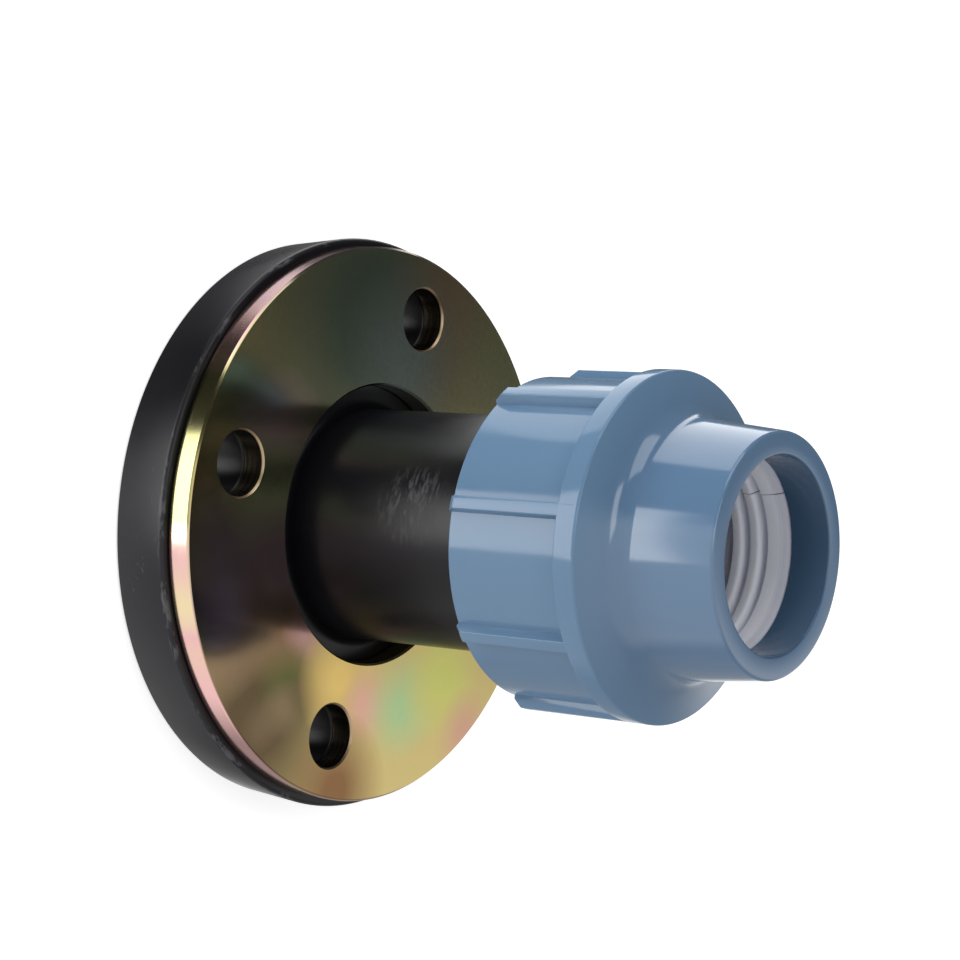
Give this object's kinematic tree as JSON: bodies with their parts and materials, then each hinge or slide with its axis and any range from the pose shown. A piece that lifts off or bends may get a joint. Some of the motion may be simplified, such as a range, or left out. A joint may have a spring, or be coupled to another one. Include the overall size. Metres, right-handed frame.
{
  "type": "flange adaptor",
  "caption": "Compression flange adaptor: ribbed nut and split ring grip a plastic pipe, and a loose steel backing plate clamps the moulded flange.",
  "frame": {"origin": "centre of the flange's sealing face, on the bore axis", "axes": "+Z along the bore, away from the flange, to the mouth where the pipe goes in; +X through a bolt hole"},
  "size_m": [0.1648, 0.1648, 0.1592],
  "materials": {
    "black_plastic": "semi-gloss moulded polypropylene",
    "zinc_plated_steel": "yellow iridescent zinc passivation",
    "blue_plastic": "semi-gloss moulded polypropylene",
    "white_plastic": "moulded acetal",
    "bush_plastic": "moulded polypropylene",
    "rubber": "moulded rubber"
  },
  "bodies": {
    "adaptor_body": {"moulded_body": "black_plastic", "seal_ring": "rubber", "thrust_bush": "bush_plastic"},
    "plate": {"backing_plate": "zinc_plated_steel"},
    "clamp_ring": {"split_ring": "white_plastic"},
    "compression_nut": {"nut": "blue_plastic"}
  },
  "joints": [
    {"name": "plate_slide", "type": "slide", "parent": "adaptor_body", "child": "plate", "axis": [0, 0, 1], "range_m": [0, 0.059]},
    {"name": "ring_travel", "type": "slide", "parent": "adaptor_body", "child": "clamp_ring", "axis": [0, 0, 1], "range_m": [0, 0.0181]},
    {"name": "nut_turn", "type": "hinge", "parent": "clamp_ring", "child": "compression_nut", "pos_m": [0, 0, 0.1225], "axis": [0, 0, 1], "range_deg": [0, 1080]}
  ],
  "couplings": [
    {"joint": "ring_travel", "follows": "nut_turn", "m_per_rad": 0.00095493}
  ]
}
